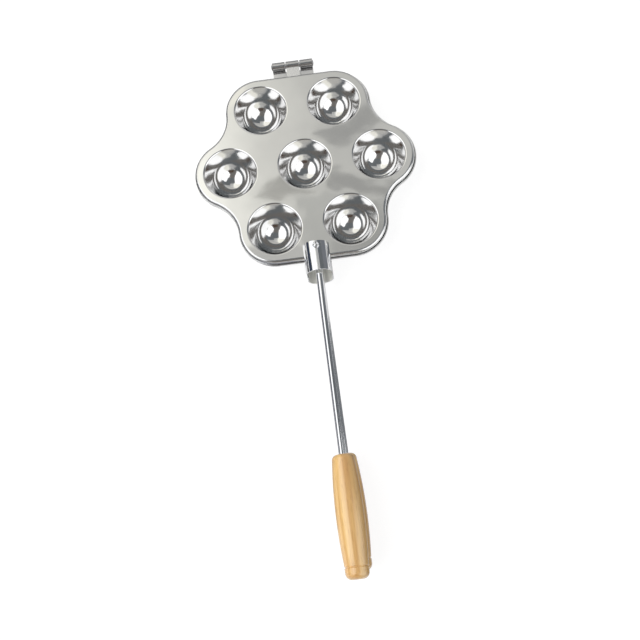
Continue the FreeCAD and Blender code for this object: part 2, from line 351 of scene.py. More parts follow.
def sheet_plate(name, grown, radius, centre_above, foot, cup_turned, place, materials):
    """Both skins of a pressed plate. The hollow of a turned cup opens on the outer face."""
    skin = Skin()
    edge = outline()
    around = 144

    def rim_row(offset, z, out, up):
        row = []
        for at, away in edge:
            spot = at + away * offset
            row.append(skin.add_point((spot.x, spot.y, z), (away.x * out, away.y * out, up)))
        return row

    def rim_side(level, rise, looks_out):
        """From the flat sheet round the turned corner to the rim's edge."""
        corner = rim_corner - level
        rows = []
        for at, out in circle_sweep(Vector((grown - rim_corner, rim_corner)), corner, -math.pi / 2, 0, 10):
            rows.append(rim_row(at.x, at.y, out.x * looks_out, out.y * looks_out))
        rows.append(rim_row(grown - level, rim_height - edge_round, looks_out, 0))
        for first, second in zip(rows, rows[1:]):
            skin.add_strip(first, second, True, 2)
        return rows[0], rows[-1]

    outer_flat, outer_edge = rim_side(0, 0, 1)
    inner_flat, inner_edge = rim_side(sheet, sheet, -1)
    middle = grown - sheet / 2
    half = sheet / 2 - edge_round
    lip_rows = [outer_edge]
    for at, out in circle_sweep(Vector((middle + half, rim_height - edge_round)), edge_round, 0, math.pi / 2, 3)[1:]:
        lip_rows.append(rim_row(at.x, at.y, out.x, out.y))
    for at, out in circle_sweep(Vector((middle - half, rim_height - edge_round)), edge_round, math.pi / 2, math.pi, 3)[:-1]:
        lip_rows.append(rim_row(at.x, at.y, out.x, out.y))
    lip_rows.append(inner_edge)
    for first, second in zip(lip_rows, lip_rows[1:]):
        skin.add_strip(first, second, True, 2)

    def face_with_cups(flat_row, level, up, hollow_side):
        """The flat sheet at one level, opened for the cups, and that side of the cups."""
        depth = 0 if hollow_side else sheet
        run, foot_run, lip_x = cup_profile(radius, centre_above, foot, depth, hollow_side)
        turn = -1 if cup_turned else 1
        if cup_turned:
            mouth = 0
        else:
            mouth = sheet
        spots = [skin.points[i].to_2d() for i in flat_row]
        index = list(flat_row)
        links = [(k, (k + 1) % len(flat_row)) for k in range(len(flat_row))]
        for centre in cup_centres():
            rows = []
            for at, out in run:
                row = []
                if at.x < 1e-9:
                    pole = skin.add_point((centre.x, centre.y, mouth + at.y * turn), (0, 0, out.y * turn))
                    rows.append([pole] * around)
                    continue
                for k in range(around):
                    angle = 2 * math.pi * k / around
                    c, s = math.cos(angle), math.sin(angle)
                    spot = (centre.x + at.x * c, centre.y + at.x * s, mouth + at.y * turn)
                    row.append(skin.add_point(spot, (out.x * c, out.x * s, out.y * turn)))
                rows.append(row)
            for first, second in zip(rows, rows[1:]):
                skin.add_strip(first, second, True, 1)
            if foot_run:
                feet = [skin.add_point(skin.points[i], (0, 0, foot_run[0][1].y * turn)) for i in rows[-1]]
                skin.add_face(feet, 1)
            first_link = len(spots)
            spots += [skin.points[i].to_2d() for i in rows[0]]
            index += rows[0]
            links += [(first_link + k, first_link + (k + 1) % around) for k in range(around)]
        made = delaunay_2d_cdt(spots, links, [], 0, 1e-7)
        places, triangles, origin = made[0], made[2], made[3]
        loop = [skin.points[i].to_2d() for i in flat_row]
        for corners in triangles:
            middle_spot = sum((places[i] for i in corners), Vector((0, 0))) / len(corners)
            in_cup = any((middle_spot - c.to_2d()).length < lip_x for c in cup_centres())
            if in_cup or not inside_loop(middle_spot, loop):
                continue
            skin.add_face([index[origin[i][0]] for i in corners])

    face_with_cups(outer_flat, 0, -1, cup_turned)
    face_with_cups(inner_flat, sheet, 1, not cup_turned)
    return make_piece(name, skin, place, materials)


def inside_loop(spot, loop):
    inside = False
    for a, b in zip(loop, loop[1:] + loop[:1]):
        if (a.y > spot.y) != (b.y > spot.y):
            if spot.x < a.x + (spot.y - a.y) * (b.x - a.x) / (b.y - a.y):
                inside = not inside
    return inside


# Hinge

def extruded(skin, loop, start, end):
    """A closed outline in the YZ plane, drawn out along X, its end edges eased. The flat
    outer side of the strap has a finish of its own."""
    ease = 0.12 * mm
    count = len(loop)

    def side_out(k):
        a, b = loop[k], loop[(k + 1) % count]
        return Vector((b.y - a.y, -(b.x - a.x))).normalized()

    shrunk = []
    smooth = []
    for k in range(count):
        before, after = side_out(k - 1), side_out(k)
        away = (before + after).normalized()
        smooth.append(before.dot(after) > math.cos(math.radians(30)))
        shrunk.append(loop[k] - away * ease)
    for k in range(count):
        following = (k + 1) % count
        flat = side_out(k)
        corners = []
        for i in (k, following):
            before, after = side_out(i - 1), side_out(i)
            out = (before + after).normalized() if smooth[i] else flat
            corners.append(out)
        finish = 1 if k == strap_side else 0
        rows = []
        for x, ring, lean in ((start, shrunk, -1), (start + ease, loop, 0), (end - ease, loop, 0), (end, shrunk, 1)):
            row = []
            for i, out in zip((k, following), corners):
                row.append(skin.add_point((x, ring[i].x, ring[i].y), (lean * 0.9, out.x, out.y)))
            rows.append(row)
        for first, second in zip(rows, rows[1:]):
            skin.add_strip(first, second, False, finish)
    for x, lean in ((start, -1), (end, 1)):
        cap = [skin.add_point((x, at.x, at.y), (lean, 0, 0)) for at in shrunk]
        skin.add_face(cap)


strap_side = 4


def rim_profile(grown, low, high, count):
    """Points on the rounded rim at the hinge end, between two heights."""
    found = []
    for k in range(count + 1):
        z = low + (high - low) * k / count
        inward = rim_corner - math.sqrt(max(0, rim_corner ** 2 - (rim_corner - min(z, rim_corner)) ** 2))
        found.append(Vector((plate_edge + grown - inward, z)))
    return found


upper_strap_z = rim_height - strap_inset - strap
lower_strap_z = hinge_depth - knuckle_radius


def knuckle_loop(grown, outer_z):
    """A strap from the rim, rolled outwards over the pin and back to a narrow seam beneath it."""
    centre = Vector((hinge_point.y, hinge_depth))
    inner_z = outer_z + strap
    crease = math.pi + math.asin(min(1, (hinge_depth - outer_z) / knuckle_radius))
    seam_rise = hinge_depth - inner_z - seam
    end_out = 3 * math.pi + math.asin(seam_rise / knuckle_radius)
    end_in = 3 * math.pi + math.asin(seam_rise / knuckle_bore)
    start_in = math.pi + math.asin(min(1, (hinge_depth - inner_z) / knuckle_bore))
    loop = rim_profile(grown, inner_z, outer_z, strap_side)
    loop += [at for at, out in circle_sweep(centre, knuckle_radius, crease, end_out, 64)]
    loop += [at for at, out in circle_sweep(centre, knuckle_bore, end_in, start_in, 48)]
    return loop


def web_loop(grown, outer_z):
    web_end = hinge_point.y - knuckle_radius - web_clear
    inner_z = outer_z + strap
    loop = rim_profile(grown, inner_z, outer_z, strap_side)
    return loop + [Vector((web_end, outer_z)), Vector((web_end, inner_z))]


def low_dome(radius, base, height, count):
    """A profile run from the edge of a low dome to its pole."""
    rise = abs(height)
    side = math.copysign(1, height)
    ball = (radius ** 2 + rise ** 2) / (2 * rise)
    centre = Vector((0, base + side * (rise - ball)))
    half = math.asin(min(1.0, radius / ball))
    return circle_sweep(centre, ball, side * (math.pi / 2 - half), side * math.pi / 2, count)


def flat_ring(inner, outer, z, side):
    out = Vector((0, side))
    return line_run(Vector((outer, z)), Vector((inner, z)), out)


def tube_run(radius, low, high):
    out = Vector((1, 0))
    return line_run(Vector((radius, low)), Vector((radius, high)), out)


# Materials

def node_material(name):
    made = bpy.data.materials.new(name)
    made.use_nodes = True
    return made, made.node_tree, made.node_tree.nodes["Principled BSDF"]


def noise(tree, scale, detail, stretch=None):
    """Noise on the piece's own coordinates in metres, drawn out where a stretch is given."""
    coordinates = tree.nodes.new("ShaderNodeTexCoord")
    texture = tree.nodes.new("ShaderNodeTexNoise")
    texture.inputs["Scale"].default_value = scale
    texture.inputs["Detail"].default_value = detail
    if stretch is None:
        tree.links.new(coordinates.outputs["Object"], texture.inputs["Vector"])
    else:
        mapping = tree.nodes.new("ShaderNodeMapping")
        mapping.inputs["Scale"].default_value = stretch
        tree.links.new(coordinates.outputs["Object"], mapping.inputs["Vector"])
        tree.links.new(mapping.outputs["Vector"], texture.inputs["Vector"])
    return texture.outputs["Fac"]


def spread(tree, value, low, high, from_low=0.3, from_high=0.7):
    ranged = tree.nodes.new("ShaderNodeMapRange")
    ranged.inputs["From Min"].default_value = from_low
    ranged.inputs["From Max"].default_value = from_high
    ranged.inputs["To Min"].default_value = low
    ranged.inputs["To Max"].default_value = high
    tree.links.new(value, ranged.inputs["Value"])
    return ranged.outputs["Result"]


def bump(tree, height, depth, before=None):
    """A bump of the given depth in metres."""
    made = tree.nodes.new("ShaderNodeBump")
    made.inputs["Strength"].default_value = 1.0
    made.inputs["Distance"].default_value = depth
    tree.links.new(height, made.inputs["Height"])
    if before is not None:
        tree.links.new(before, made.inputs["Normal"])
    return made.outputs["Normal"]


def two_tones(tree, value, dark, light, from_low=0.3, from_high=0.7):
    ramp = tree.nodes.new("ShaderNodeValToRGB")
    ramp.color_ramp.elements[0].position = from_low
    ramp.color_ramp.elements[0].color = (*dark, 1)
    ramp.color_ramp.elements[1].position = from_high
    ramp.color_ramp.elements[1].color = (*light, 1)
    tree.links.new(value, ramp.inputs["Fac"])
    return ramp.outputs["Color"]


def steel(name, dark, light, smooth, rough, waviness, grain, metallic=1.0):
    """Sheet or bar steel: faint tone and roughness changes, slow waves and a fine grain."""
    made, tree, shader = node_material(name)
    shader.inputs["Metallic"].default_value = metallic
    slow = noise(tree, 28, 2)
    fine = noise(tree, 900, 3)
    tree.links.new(two_tones(tree, slow, dark, light), shader.inputs["Base Color"])
    tree.links.new(spread(tree, fine, smooth, rough), shader.inputs["Roughness"])
    waves = bump(tree, noise(tree, 45, 1), waviness)
    tree.links.new(bump(tree, fine, grain, waves), shader.inputs["Normal"])
    return made


satin_steel = steel("satin_steel", (0.77, 0.77, 0.76), (0.84, 0.84, 0.825), 0.04, 0.06, 0.00010, 0.000001)
rim_steel = steel("rim_steel", (0.73, 0.735, 0.74), (0.81, 0.815, 0.82), 0.16, 0.22, 0.00005, 0.000002)
mirror_steel = steel("mirror_steel", (0.83, 0.83, 0.83), (0.88, 0.88, 0.88), 0.08, 0.12, 0.00003, 0.0000003)
bright_steel = steel("bright_steel", (0.80, 0.81, 0.83), (0.86, 0.87, 0.89), 0.06, 0.10, 0.00002, 0.0000006)
rod_steel = steel("rod_steel", (0.80, 0.81, 0.83), (0.86, 0.87, 0.89), 0.06, 0.10, 0.000004, 0.0000006)
dull_steel = steel("dull_steel", (0.80, 0.80, 0.75), (0.90, 0.90, 0.86), 0.45, 0.58, 0.00002, 0.000008, 0.1)
hinge_steel = steel("hinge_steel", (0.66, 0.66, 0.67), (0.84, 0.84, 0.85), 0.14, 0.22, 0.00008, 0.000003)
tab_steel = steel("tab_steel", (0.84, 0.84, 0.85), (0.97, 0.97, 0.97), 0.18, 0.30, 0.00010, 0.000006)


def varnished_wood(name):
    made, tree, shader = node_material(name)
    grain = noise(tree, 1, 4, (420, 9, 130))
    bands = noise(tree, 1, 2, (110, 5, 160))
    flecks = noise(tree, 1, 2, (1500, 110, 1500))
    tone = two_tones(tree, bands, (0.58, 0.27, 0.070), (0.88, 0.56, 0.19), 0.40, 0.58)
    fine = two_tones(tree, grain, (0.68, 0.37, 0.12), (0.90, 0.60, 0.25), 0.35, 0.65)
    mix = tree.nodes.new("ShaderNodeMix")
    mix.data_type = "RGBA"
    mix.inputs["Factor"].default_value = 0.5
    tree.links.new(tone, mix.inputs["A"])
    tree.links.new(fine, mix.inputs["B"])
    speck = tree.nodes.new("ShaderNodeMix")
    speck.data_type = "RGBA"
    speck.blend_type = "MULTIPLY"
    speck.inputs["Factor"].default_value = 0.35
    tree.links.new(mix.outputs["Result"], speck.inputs["A"])
    tree.links.new(two_tones(tree, flecks, (0.55, 0.40, 0.28), (1, 1, 1), 0.30, 0.42), speck.inputs["B"])
    tree.links.new(speck.outputs["Result"], shader.inputs["Base Color"])
    tree.links.new(spread(tree, grain, 0.28, 0.36), shader.inputs["Roughness"])
    shader.inputs["Coat Weight"].default_value = 0.9
    shader.inputs["Coat Roughness"].default_value = 0.2
    shader.inputs["Coat IOR"].default_value = 1.8
    tree.links.new(bump(tree, grain, 0.00003), shader.inputs["Normal"])
    return made


grip_wood = varnished_wood("grip_wood")


# The pieces

def finished(piece, body, node):
    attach(piece, body)
    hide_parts(node)
    return piece


upper_sheet = sheet_plate("upper_plate_sheet", 0, cup_bottom_radius, -cup_centre_depth, 0, True, UPPER,
                          [satin_steel, mirror_steel, rim_steel])
finished(upper_sheet, "upper_half", "upper_plate")
lower_sheet = sheet_plate("lower_plate_sheet", lower_ledge, lower_bottom_radius,
                          closed_thickness - sheet - cup_centre_depth, foot_radius, False, LOWER,
                          [satin_steel, mirror_steel, rim_steel])
finished(lower_sheet, "lower_half", "lower_plate")


def knuckles(name, parts, place, strap_finish):
    skin = Skin()
    for loop, start, end in parts:
        extruded(skin, loop, start, end)
    return make_piece(name, skin, place, [hinge_steel, strap_finish])


middle = knuckles("upper_hinge_eye", [
    (knuckle_loop(0, upper_strap_z), -side_play - middle_knuckle / 2, -side_play + middle_knuckle / 2),
], UPPER, tab_steel)
finished(middle, "upper_half", "upper_hinge_leaf")
eye_pair = knuckles("lower_hinge_eyes", [
    (knuckle_loop(lower_ledge, lower_strap_z), -hinge_half_length, -middle_gap),
    (knuckle_loop(lower_ledge, lower_strap_z), middle_gap, hinge_half_length),
    (web_loop(lower_ledge, lower_strap_z), -middle_gap, middle_gap),
], LOWER, hinge_steel)
finished(eye_pair, "lower_half", "lower_hinge_leaf")


def pin():
    skin = Skin()
    half = hinge_half_length
    profile = [
        low_dome(pin_head_radius, half, pin_head_height, 8),
        flat_ring(pin_radius, pin_head_radius, half, -1),
        tube_run(pin_radius, -half, half),
        flat_ring(pin_radius, pin_head_radius, -half, 1),
        low_dome(pin_head_radius, -half, -pin_head_height, 8),
    ]
    revolve(skin, profile, Vector((0, 0, 0)), 64)
    place = Matrix.Translation(hinge_point) @ Matrix.Rotation(math.pi / 2, 4, "Y")
    return make_piece("hinge_pin_peened", skin, place, [hinge_steel])


finished(pin(), "lower_half", "hinge_pin")


def socket_cover(name, start, place):
    """A half-round cover: bright outside, dull inside, its free corners rounded."""
    skin = Skin()
    across = 72
    along = 24
    end = start - socket_length

    def free_end(height):
        drop = socket_corner - min(height, socket_corner)
        return end + socket_corner - math.sqrt(max(0, socket_corner ** 2 - drop ** 2))

    def shell(radius, side, finish):
        rows = []
        for i in range(across + 1):
            angle = math.pi * i / across
            x, height = -radius * math.cos(angle), radius * math.sin(angle)
            last = free_end(height)
            row = []
            for j in range(along + 1):
                y = start + (last - start) * j / along
                row.append(skin.add_point((x, y, -height), (side * x, 0, -side * height)))
            rows.append(row)
        for first, second in zip(rows, rows[1:]):
            skin.add_strip(first, second, False, finish)
        return rows

    outer = shell(socket_radius, 1, 0)
    inner = shell(socket_radius - socket_wall, -1, 1)

    def edge(first_run, second_run, normal):
        first = [skin.add_point(skin.points[i], normal) for i in first_run]
        second = [skin.add_point(skin.points[i], normal) for i in second_run]
        skin.add_strip(first, second, False, 0)

    edge([row[0] for row in outer], [row[0] for row in inner], (0, 1, 0))
    edge([row[-1] for row in outer], [row[-1] for row in inner], (0, -1, 0))
    edge(outer[0], inner[0], (0, 0, 1))
    edge(outer[-1], inner[-1], (0, 0, 1))
    return make_piece(name, skin, place, [bright_steel, dull_steel])


def rivet_y(socket_start):
    return socket_start - rivet_inset


def rivet(name, socket_start, place):
    skin = Skin()
    crown = -socket_radius
    top = crown - rivet_head_height
    ring_radius = (rivet_head_radius - rivet_dimple_radius) / 2
    ring_centre = Vector((rivet_head_radius - ring_radius, top + ring_radius))
    dimple_floor = top + ring_radius
    profile = [
        low_dome(rivet_dimple_radius, dimple_floor, -rivet_dimple_depth / 2, 8),
        circle_sweep(ring_centre, ring_radius, -math.pi, 0, 20),
        tube_run(rivet_head_radius, top + ring_radius, crown + 0.35 * mm),
        tube_run(rivet_radius, crown, sheet),
        flat_ring(rivet_radius, rivet_tail_radius, sheet, -1),
        low_dome(rivet_tail_radius, sheet, rivet_tail_height, 8),
    ]
    revolve(skin, profile, Vector((0, rivet_y(socket_start), 0)), 64)
    return make_piece(name, skin, place, [bright_steel])


def splay_about(y, splay):
    there = Matrix.Translation((0, y, 0))
    return there @ Matrix.Rotation(splay, 4, "Z") @ there.inverted()


def rod_start(socket_start):
    return Vector((0, rivet_y(socket_start) - tongue_length - forging_length, -rod_radius))


def rod_along():
    return Vector((0, -math.cos(rod_rise), -math.sin(rod_rise)))


def rod_length(socket_start, reach, grip_length):
    run = reach - grip_length + bore_depth + rod_start(socket_start).y
    return run / math.cos(rod_rise)


def rod_bar(name, socket_start, reach, grip_length, splay, place):
    """A round bar with its end forged into a flat tongue under the socket."""
    skin = Skin()
    around = 48
    y = rivet_y(socket_start)
    start = rod_start(socket_start)
    nose = tongue_width / 2
    low = Vector((0, 0, -tongue_thickness / 2))
    sections = []
    for k in range(9):
        angle = math.pi / 2 * k / 8
        centre = low + Vector((0, y + nose * math.cos(angle), 0))
        sections.append((centre, max(nose * math.sin(angle), 0.02 * mm), tongue_thickness / 2, 6.0))
    sections.append((low + Vector((0, y - tongue_length, 0)), nose, tongue_thickness / 2, 6.0))
    first = low + Vector((0, y - tongue_length, 0))
    for k in range(1, 13):
        t = k / 12
        ease = t * t * (3 - 2 * t)
        centre = first.lerp(start, t)
        centre.z = low.z + (start.z - low.z) * ease
        width = nose + (rod_radius - nose) * ease
        height = tongue_thickness / 2 + (rod_radius - tongue_thickness / 2) * ease
        sections.append((centre, width, height, 6.0 + (2.0 - 6.0) * ease))
    end = start + rod_along() * rod_length(socket_start, reach, grip_length)
    for k in range(1, 13):
        sections.append((start.lerp(end, k / 12), rod_radius, rod_radius, 2.0))
    rows = []
    for centre, width, height, square in sections:
        row = []
        for k in range(around):
            angle = 2 * math.pi * k / around
            c, s = math.cos(angle), math.sin(angle)
            x = width * math.copysign(abs(c) ** (2 / square), c)
            z = height * math.copysign(abs(s) ** (2 / square), s)
            nx = math.copysign(abs(c) ** (2 - 2 / square), c) / width
            nz = math.copysign(abs(s) ** (2 - 2 / square), s) / height
            row.append(skin.add_point(centre + Vector((x, 0, z)), (nx, 0, nz)))
        rows.append(row)
    for first_row, second_row in zip(rows, rows[1:]):
        skin.add_strip(first_row, second_row, True)
    skin.add_face([skin.add_point(skin.points[i], (0, 1, 0)) for i in rows[0]])
    skin.add_face([skin.add_point(skin.points[i], (0, -1, 0)) for i in rows[-1]])
    return make_piece(name, skin, place @ splay_about(y, splay), [rod_steel])


def grip_handle(name, socket_start, reach, grip_length, splay, place):
    """A turned grip with a belly, a ring cut near its rounded end and a blind bore."""
    skin = Skin()
    ring = grip_length - ring_from_end
    ring_start = Vector((grip_end_radius, ring - ring_width / 2))
    ring_end = Vector((grip_end_radius, ring + ring_width / 2))
    shoulder = Vector((grip_end_radius, grip_length - grip_end_round))
    neck_centre = Vector((grip_neck_radius - grip_neck_round, grip_neck_round))
    end_centre = Vector((grip_end_radius - grip_end_round, grip_length - grip_end_round))
    groove = arc_through(ring_start, Vector((grip_end_radius - ring_depth, ring)), ring_end, 10)
    profile = [
        line_run(Vector((rod_radius, bore_depth)), Vector((rod_radius, 0)), Vector((-1, 0))),
        line_run(Vector((rod_radius, 0)), Vector((neck_centre.x, 0)), Vector((0, -1)))
        + circle_sweep(neck_centre, grip_neck_round, -math.pi / 2, 0, 12)[1:],
        arc_through(Vector((grip_neck_radius, grip_neck_round)),
                    Vector((grip_belly_radius, grip_length * grip_belly_share)), ring_start, 48),
        [(at, -out) for at, out in groove],
        line_run(ring_end, shoulder, Vector((1, 0)))
        + circle_sweep(end_centre, grip_end_round, 0, math.pi / 2, 16)[1:]
        + [(Vector((0, grip_length)), Vector((0, 1)))],
    ]
    revolve(skin, profile, Vector((0, 0, 0)), 96)
    seat = rod_start(socket_start) + rod_along() * (rod_length(socket_start, reach, grip_length) - bore_depth)
    toward = rod_along().to_track_quat("Z", "Y").to_matrix().to_4x4()
    lie = place @ splay_about(rivet_y(socket_start), splay) @ Matrix.Translation(seat) @ toward
    return make_piece(name, skin, lie, [grip_wood])


for half, body, place, socket_start, reach, long, splay in (
    ("upper", "upper_half", UPPER, upper_socket_high.y, upper_reach, upper_grip_length, upper_splay),
    ("lower", "lower_half", LOWER, lower_socket_high.y, lower_reach, lower_grip_length, lower_splay),
):
    finished(socket_cover(half + "_socket_cover", socket_start, place), body, half + "_socket")
    finished(rivet(half + "_rivet", socket_start, place), body, half + "_socket_rivet")
    bar = rod_bar(half + "_rod_bar", socket_start, reach, long, splay, place)
    finished(bar, body, half + "_rod")
    grip = grip_handle(half + "_grip_turned", socket_start, reach, long, splay, place)
    finished(grip, body, half + "_grip")


# Floor, studio and camera

def emission(name, colour, strength):
    made = bpy.data.materials.new(name)
    made.use_nodes = True
    tree = made.node_tree
    tree.nodes.clear()
    light = tree.nodes.new("ShaderNodeEmission")
    light.inputs["Color"].default_value = (*colour, 1)
    light.inputs["Strength"].default_value = strength
    out = tree.nodes.new("ShaderNodeOutputMaterial")
    tree.links.new(light.outputs["Emission"], out.inputs["Surface"])
    return made


def seen_or_mirrored(tree):
    """One for the camera's rays and for those that metal mirrors, nought for soft light."""
    path = tree.nodes.new("ShaderNodeLightPath")
    total = path.outputs["Is Camera Ray"]
    for kind in ("Is Glossy Ray", "Is Transmission Ray"):
        larger = tree.nodes.new("ShaderNodeMath")
        larger.operation = "MAXIMUM"
        tree.links.new(total, larger.inputs[0])
        tree.links.new(path.outputs[kind], larger.inputs[1])
        total = larger.outputs["Value"]
    return total


def paper(tree, diffuse, glow):
    """White paper of which a part glows by itself, so that its shadows are fainter."""
    shadowed = tree.nodes.new("ShaderNodeBsdfDiffuse")
    shadowed.inputs["Color"].default_value = (diffuse, diffuse, diffuse, 1)
    glowing = tree.nodes.new("ShaderNodeEmission")
    glowing.inputs["Strength"].default_value = glow
    both = tree.nodes.new("ShaderNodeAddShader")
    tree.links.new(shadowed.outputs["BSDF"], both.inputs[0])
    tree.links.new(glowing.outputs["Emission"], both.inputs[1])
    return both.outputs["Shader"]


def floor():
    """A white floor that keeps a faint shadow of the pan, and a clearer one where metal
    mirrors it."""
    reach = 6.0
    mesh = bpy.data.meshes.new("floor")
    mesh.from_pydata([(-reach, -reach, 0), (reach, -reach, 0), (reach, reach, 0), (-reach, reach, 0)], [], [(0, 1, 2, 3)])
    made = bpy.data.materials.new("floor")
    made.use_nodes = True
    tree = made.node_tree
    tree.nodes.clear()
    path = tree.nodes.new("ShaderNodeLightPath")
    shown = paper(tree, 0.80, 0)
    for kinds, diffuse, glow in ((("Is Glossy Ray", "Is Transmission Ray"), 0.66, 0.28), (("Is Camera Ray",), 0.20, 0.89)):
        for kind in kinds:
            mix = tree.nodes.new("ShaderNodeMixShader")
            tree.links.new(path.outputs[kind], mix.inputs["Fac"])
            tree.links.new(shown, mix.inputs[1])
            tree.links.new(paper(tree, diffuse, glow), mix.inputs[2])
            shown = mix.outputs["Shader"]
    out = tree.nodes.new("ShaderNodeOutputMaterial")
    tree.links.new(shown, out.inputs["Surface"])
    mesh.materials.append(made)
    plane = bpy.data.objects.new("floor", mesh)
    bpy.context.scene.collection.objects.link(plane)
    plane.location.z = solid_box[0].z


floor()


def camera():
    data = bpy.data.cameras.new("camera")
    data.sensor_width = 36
    data.lens = 50.625
    made = bpy.data.objects.new("camera", data)
    bpy.context.scene.collection.objects.link(made)
    made.location = (-4.9 * mm, -326.7 * mm, top_face_z + 687.6 * mm)
    made.rotation_euler = (math.radians(15.384), math.radians(2.010), math.radians(-7.225))
    bpy.context.scene.camera = made
    return made


camera()

# The studio as the middle cup sees it. A place in its mirrored picture, in cup radii to the
# right and up from the cup's middle, stands for one direction.
cup_view = Vector((-0.0056, -0.429, 0.903)).normalized()
view_right = Vector((0.9915, -0.1257, -0.0351))
view_right = (view_right - cup_view * view_right.dot(cup_view)).normalized()
view_up = cup_view.cross(view_right)


def mirrored_direction(right, up):
    lean = math.sqrt(1 - right ** 2 - up ** 2)
    return (2 * lean ** 2 - 1) * cup_view - 2 * lean * (right * view_right + up * view_up)


def card(name, corners, distance, tone, lights=False):
    """A flat panel that reflections see, or one that only sheds soft light. A further panel
    lies behind the nearer ones."""
    middle_of_pan = Vector((0, 0, top_face_z))
    ways = [mirrored_direction(*c) for c in corners]
    facing = sum(ways, Vector()).normalized()
    points = [middle_of_pan + way * distance / way.dot(facing) for way in ways]
    mesh = bpy.data.meshes.new(name)
    mesh.from_pydata(points, [], [tuple(range(len(points)))])
    mesh.materials.append(emission(name, tone, 1.0))
    made = bpy.data.objects.new(name, mesh)
    bpy.context.scene.collection.objects.link(made)
    made.visible_camera = False
    made.visible_shadow = False
    made.visible_diffuse = lights
    made.visible_glossy = not lights


window = (1.4, 1.4, 1.4)
card("window_right", [(-0.62, 0.30), (-0.30, 0.36), (-0.20, 0.26), (-0.15, 0.20), (-0.08, 0.09), (-0.13, -0.02),
                      (-0.20, -0.10), (-0.27, -0.25), (-0.33, -0.25), (-0.40, -0.18), (-0.62, -0.15)],
     2.0, window)
left_pane = [(0.24, 0.22), (0.46, 0.20), (0.50, -0.05), (0.51, -0.24), (0.40, -0.35), (0.20, -0.38), (0.14, -0.26),
             (0.13, -0.14), (0.15, 0.02)]
card("window_left", left_pane, 2.0, window)
card("daylight", left_pane, 1.9, (3.3, 3.25, 3.1), True)
card("cream_sill", [(0.09, -0.33), (0.15, -0.29), (0.56, -0.22), (0.50, -0.52), (0.10, -0.52)], 2.2, (1.04, 1.02, 0.93))
card("navy_curtain", [(0.51, 0.10), (0.80, 0.14), (0.93, -0.02), (0.93, -0.18), (0.80, -0.34), (0.52, -0.26)],
     2.1, (0.045, 0.055, 0.080))
card("slate_side", [(-0.38, -0.20), (-0.72, -0.13), (-0.88, -0.20), (-0.86, -0.30), (-0.50, -0.395), (-0.38, -0.40)],
     2.3, (0.18, 0.19, 0.205))
card("dark_shelf", [(-0.17, 0.29), (0.10, 0.29), (0.08, 0.18), (-0.10, 0.16)], 2.2, (0.085, 0.062, 0.050))
card("brown_column", [(-0.20, 0.31), (0.20, 0.31), (0.20, 0.16), (0.14, 0.02), (0.12, -0.08), (-0.08, -0.08),
                      (-0.10, 0.06), (-0.20, 0.18)], 2.3, (0.165, 0.155, 0.145))
card("slate_wall", [(-0.50, -0.20), (-0.10, -0.06), (0.0, -0.04), (0.16, -0.06), (0.17, -0.36), (-0.40, -0.38),
                    (-0.50, -0.34)], 2.4, (0.140, 0.150, 0.157))
card("grey_band", [(-0.50, -0.34), (0.50, -0.34), (0.50, -0.56), (-0.50, -0.56)], 2.5, (0.55, 0.54, 0.51))
card("grey_corner", [(0.18, 0.45), (0.55, 0.40), (0.52, 0.14), (0.22, 0.16)], 2.5, (0.28, 0.285, 0.295))
card("grey_cap", [(-0.30, 0.14), (-0.30, 0.60), (0.20, 0.60), (0.20, 0.14)], 2.6, (0.44, 0.43, 0.40))


ceiling_height = 2.0
cream = (1.0, 0.99, 0.93)


def mirrored_ceiling(across, along):
    """The place on the ceiling that the flat sheet shows the camera at a place on the pan."""
    eye = bpy.context.scene.camera.location
    climb = ceiling_height / (eye.z - top_face_z)
    x, y = across * mm, along * mm
    return Vector((x + (x - eye.x) * climb, y + (y - eye.y) * climb, top_face_z + ceiling_height))


def reflected_panel(name, points, material):
    mesh = bpy.data.meshes.new(name)
    mesh.from_pydata(points, [], [tuple(range(len(points)))])
    mesh.materials.append(material)
    made = bpy.data.objects.new(name, mesh)
    bpy.context.scene.collection.objects.link(made)
    made.visible_camera = False
    made.visible_shadow = False
    made.visible_diffuse = False


def ceiling():
    """A pale ceiling, lit from the left, with darker patches that paint darker zones into the flat sheet's reflection.
    """
    made = bpy.data.materials.new("ceiling")
    made.use_nodes = True
    tree = made.node_tree
    tree.nodes.clear()
    coordinates = tree.nodes.new("ShaderNodeTexCoord")
    split = tree.nodes.new("ShaderNodeSeparateXYZ")
    tree.links.new(coordinates.outputs["Object"], split.inputs["Vector"])
    left, right = mirrored_ceiling(-84, 0).x, mirrored_ceiling(84, 0).x
    ramp = tree.nodes.new("ShaderNodeValToRGB")
    stops = ((0.0, 1.16), (0.10, 1.0), (0.26, 0.80), (0.45, 0.70), (0.60, 0.61), (1.0, 0.58))
    for k, (place, tone) in enumerate(stops):
        stop = ramp.color_ramp.elements[k] if k < 2 else ramp.color_ramp.elements.new(place)
        stop.position = place
        pale = [tone * (1 + (tint - 1) * (1 - place / 2)) for tint in cream]
        stop.color = (*pale, 1)
    tree.links.new(spread(tree, split.outputs["X"], 0, 1, left, right), ramp.inputs["Fac"])
    light = tree.nodes.new("ShaderNodeEmission")
    tree.links.new(ramp.outputs["Color"], light.inputs["Color"])
    out = tree.nodes.new("ShaderNodeOutputMaterial")
    tree.links.new(light.outputs["Emission"], out.inputs["Surface"])
    corners = ((-115, -115), (115, -115), (115, 115), (-115, 115))
    reflected_panel("ceiling", [mirrored_ceiling(*c) for c in corners], made)


def painted_reflection_patch(name, corners, tone):
    """Painted reflection: a darker patch just under the ceiling, put by the places on the pan where it is mirrored, so
    that the flat sheet shows a darker zone there.
    """
    drop = Vector((0, 0, 0.01))
    reflected_panel(name, [mirrored_ceiling(*c) - drop for c in corners], emission(name, tone, 1.0))


